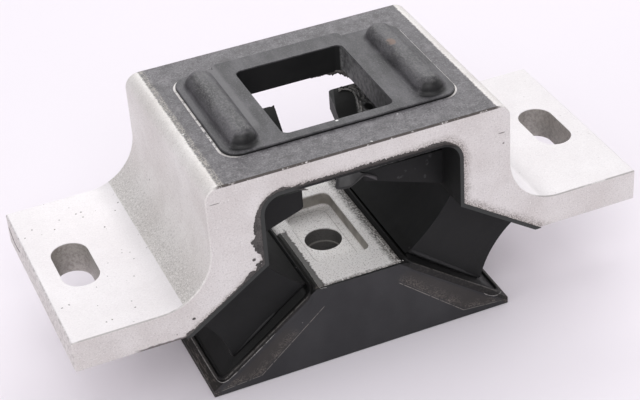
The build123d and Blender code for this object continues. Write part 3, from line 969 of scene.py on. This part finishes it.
def from_slope(side, along, above, y):
    """The point at a place of the core's slope: on the right for side 1, on the left for -1."""
    x = CORE_TOP_HALF + along * math.cos(CORE_SLOPE) + above * math.sin(CORE_SLOPE)
    z = CORE_TOP - along * math.sin(CORE_SLOPE) + above * math.cos(CORE_SLOPE)
    return side * x, y, z


BEAD_STEPS = 120


def bead(name, points, radius, material, unevenness=0.5):
    """An uneven thin round bead through points in mm, pointed at both ends."""
    loops = []
    for share in shares(BEAD_STEPS):
        centre = Vector(smooth_path(points, share))
        turn_frame = heading(points, share, 0.004).to_track_quat("Z", "Y")
        half = radius * (1 + unevenness * rough(*centre, 1.5))
        half = max(half * ease(share, 0, 0.06) * ease(share, 1, 0.94), 0.01)
        loop = []
        for cosine, sine in CIRCLE:
            loop.append(centre + turn_frame @ Vector((half * cosine, half * sine, 0)))
        loops.append(loop)
    add_skin(name, loops, material)


def on_slope_points(side, places):
    return [from_slope(side, *place) for place in places]


# Flash on the lips and beads at the legs' foot: along the slope, above it, and y
RIGHT_FLASH = (
    (37.5, -0.35, -33.05), (40.0, -0.4, -33.1), (42.3, 0.0, -33.0), (44.4, 1.0, -32.4),
    (45.6, 1.75, -31.2),
)
LEFT_FLASH = (
    (20.0, 0.8, -33.05), (27.0, 0.75, -33.1), (34.0, 0.7, -33.1), (40.0, 0.75, -33.1),
    (43.4, 1.1, -32.9), (45.0, 1.7, -31.6), (45.6, 1.85, -28.0), (45.65, 1.85, -16.0),
    (45.65, 1.85, -2.0), (45.65, 1.85, 12.0),
)
RIGHT_BEAD = (
    (2.6, 4.5, -27.5), (6.0, 3.9, -27.9), (14.7, 3.5, -27.9), (27.5, 3.1, -27.8),
    (36.5, 2.9, -27.3),
)
LEFT_BEAD = (
    (15.0, 3.6, -27.7), (22.0, 3.4, -27.85), (27.5, 3.2, -27.8), (33.0, 3.1, -27.6),
    (36.5, 3.1, -27.2),
)
# Flash along the core's top edges: x, y, z
RIGHT_CORE_FLASH = (
    (13.7, -8.0, 31.0), (13.95, -14.0, 31.05), (14.15, -20.0, 31.08), (14.25, -27.0, 31.1),
    (14.4, -29.9, 31.1), (15.2, -30.3, 31.0), (16.5, -30.5, 30.75),
)
LEFT_CORE_FLASH = (
    (-14.2, 1.0, 31.0), (-14.25, -8.0, 31.05), (-14.3, -20.0, 31.05), (-14.5, -31.0, 31.05),
    (-13.4, -32.0, 31.0), (-12.2, -32.2, 30.95),
)
FLASH_RADIUS = 0.13
CORE_FLASH_RADIUS = 0.19
LEG_BEAD_RADIUS = 1.25

# Torn flash under the window's back edge and round its corner: x, y, how far it hangs down
WINDOW_FLASH = (
    (6.0, 21.2, 0.05), (9.0, 21.2, 0.3), (12.0, 21.2, 0.45), (15.0, 21.2, 1.0), (17.2, 21.0, 1.1),
    (18.8, 20.2, 1.3), (19.4, 18.4, 1.2), (19.45, 16.2, 0.6), (19.45, 14.0, 0.05),
)
WINDOW_STEPS = 170


def window_flash():
    """Ragged flash that hangs under the back edge of the window's lining."""
    loops = []
    for share in shares(WINDOW_STEPS):
        x, y, hang = smooth_path(WINDOW_FLASH, share)
        way = heading(WINDOW_FLASH, share, 0.005).xy.normalized()
        hang = max(hang * (1 + 0.75 * rough(x, y, 0.0, 0.7, 2)), 0.02)
        lean = 0.3 * rough(x, y, 9.0, 1.4)
        top = TUNNEL_TOP - LINING + 0.3
        tip = TUNNEL_TOP - LINING - hang
        loop = []
        for side, height in ((0.25, top), (-0.2, top), (-0.1 + lean, tip), (0.12 + lean, tip)):
            loop.append((x - way.y * side, y + way.x * side, height))
        loops.append(loop)
    add_skin("window_flash", loops, torn)


torn = torn_rubber()
bloomed = bloomed_rubber()
flash = pale_flash("pale_flash", 0.27)
# A brighter copy of the flash for the core's right top edge: a painted highlight
flash_painted_highlight = pale_flash("flash_painted_highlight", 0.62)
leg_highlight = painted_highlight_rubber()
tunnel_film()
film_crumbs()
sliver("arch_spike", (-21.4, -39.05, 77.7), (-18.6, -39.05, 75.9), 0.75, torn, bend=-0.25)
sliver("arch_tag", (-22.6, -39.05, 78.3), (-20.9, -39.05, 79.1), 0.5, torn)
sliver("left_stop_tag", (-7.6, 22.6, 66.7), (-4.3, 26.6, 66.8), 1.9, rubber, facing=(0, 0, 1))
stop_fin()
for number, crease_path in enumerate(RIM_PATHS, start=1):
    stop_crease(f"stop_crease_{number}", crease_path)
bead("right_foot_flash", on_slope_points(1, RIGHT_FLASH), FLASH_RADIUS, flash)
bead("left_foot_flash", on_slope_points(-1, LEFT_FLASH), FLASH_RADIUS, flash)
bead("right_core_flash", RIGHT_CORE_FLASH, CORE_FLASH_RADIUS, flash_painted_highlight, 0.3)
bead("left_core_flash", LEFT_CORE_FLASH, FLASH_RADIUS, flash)
# The legs' beads carry a painted highlight
bead("right_leg_bead", on_slope_points(1, RIGHT_BEAD), LEG_BEAD_RADIUS, leg_highlight, 0.05)
bead("left_leg_bead", on_slope_points(-1, LEFT_BEAD), LEG_BEAD_RADIUS, leg_highlight, 0.05)
window_flash()


def add_floor():
    """A square of paper on Z = 0, half its side in metres."""
    half = 2.0
    mesh = bpy.data.meshes.new("floor")
    corners = [(-half, -half, 0), (half, -half, 0), (half, half, 0), (-half, half, 0)]
    mesh.from_pydata(corners, [], [(0, 1, 2, 3)])
    floor = bpy.data.objects.new("floor", mesh)
    floor.data.materials.append(floor_paper())
    bpy.context.scene.collection.objects.link(floor)


def add_light(name, place, target, width, height, power):
    """A white area lamp at a place in metres, aimed at a target."""
    data = bpy.data.lights.new(name, "AREA")
    data.shape = "RECTANGLE"
    data.size = width
    data.size_y = height
    data.energy = power
    light = bpy.data.objects.new(name, data)
    light.location = place
    aim = Vector(target) - Vector(place)
    light.rotation_mode = "QUATERNION"
    light.rotation_quaternion = aim.to_track_quat("-Z", "Y")
    bpy.context.scene.collection.objects.link(light)


def add_world(backdrop, level):
    """Even studio light; the camera sees a pale backdrop."""
    world = bpy.data.worlds.new("studio")
    bpy.context.scene.world = world
    world.use_nodes = True
    tree = world.node_tree
    tree.nodes.clear()
    seen = tree.nodes.new("ShaderNodeBackground")
    seen.inputs["Color"].default_value = (*backdrop, 1)
    light = tree.nodes.new("ShaderNodeBackground")
    light.inputs["Color"].default_value = (0.97, 0.97, 1.0, 1)
    light.inputs["Strength"].default_value = level
    path = tree.nodes.new("ShaderNodeLightPath")
    choose = tree.nodes.new("ShaderNodeMixShader")
    output = tree.nodes.new("ShaderNodeOutputWorld")
    tree.links.new(path.outputs["Is Camera Ray"], choose.inputs[0])
    tree.links.new(light.outputs[0], choose.inputs[1])
    tree.links.new(seen.outputs[0], choose.inputs[2])
    tree.links.new(choose.outputs[0], output.inputs["Surface"])


# The photograph's width in pixels and the camera sensor's in mm
PHOTO_WIDTH = 640
SENSOR_WIDTH = 36.0


def add_camera(azimuth, elevation, roll, shift_x, shift_y, distance, pivot, focal_pixels):
    """A camera looking at pivot (mm) from azimuth and elevation, rolled about its own axis."""
    turn = math.radians(azimuth)
    tilt = math.radians(elevation)
    lean = math.radians(roll)
    back = Vector(
        (math.sin(turn) * math.cos(tilt), -math.cos(turn) * math.cos(tilt), math.sin(tilt))
    )
    ahead = -back
    right = ahead.cross(Vector((0, 0, 1))).normalized()
    down = ahead.cross(right)
    right_rolled = right * math.cos(lean) + down * math.sin(lean)
    down_rolled = down * math.cos(lean) - right * math.sin(lean)
    centre = Vector(pivot) - (right_rolled * shift_x + down_rolled * shift_y + ahead * distance)
    data = bpy.data.cameras.new("camera")
    data.sensor_fit = "HORIZONTAL"
    data.sensor_width = SENSOR_WIDTH
    data.lens = focal_pixels / PHOTO_WIDTH * SENSOR_WIDTH
    data.clip_start = 0.01
    data.clip_end = 20.0
    camera = bpy.data.objects.new("camera", data)
    axes = Matrix((right_rolled, -down_rolled, -ahead)).transposed()
    camera.matrix_world = Matrix.Translation(centre * 0.001) @ axes.to_4x4()
    bpy.context.scene.collection.objects.link(camera)
    bpy.context.scene.camera = camera


add_floor()
add_world(backdrop=(0.93, 0.875, 0.94), level=0.46)
add_light("overhead", (0.0, 0.1, 1.2), (0, 0, 0.05), 1.0, 1.0, 3.7)
add_light("front", (-0.4, -0.95, 1.05), (0, 0, 0.03), 1.0, 0.8, 7.7)
add_light("left", (-1.3, -0.3, 0.55), (0, 0, 0.05), 0.9, 0.8, 3.3)
add_light("right", (1.3, 0.0, 0.55), (0, 0, 0.05), 0.9, 0.8, 3.3)
add_light("back", (0.45, 1.15, 0.85), (0, 0, 0.08), 1.3, 0.8, 7.6)
add_camera(
    azimuth=-20.841, elevation=34.571, roll=4.26, shift_x=0.134, shift_y=0.038,
    distance=594.7, pivot=(0, 0, 42), focal_pixels=1748.39,
)
bpy.context.scene.view_settings.view_transform = "Standard"
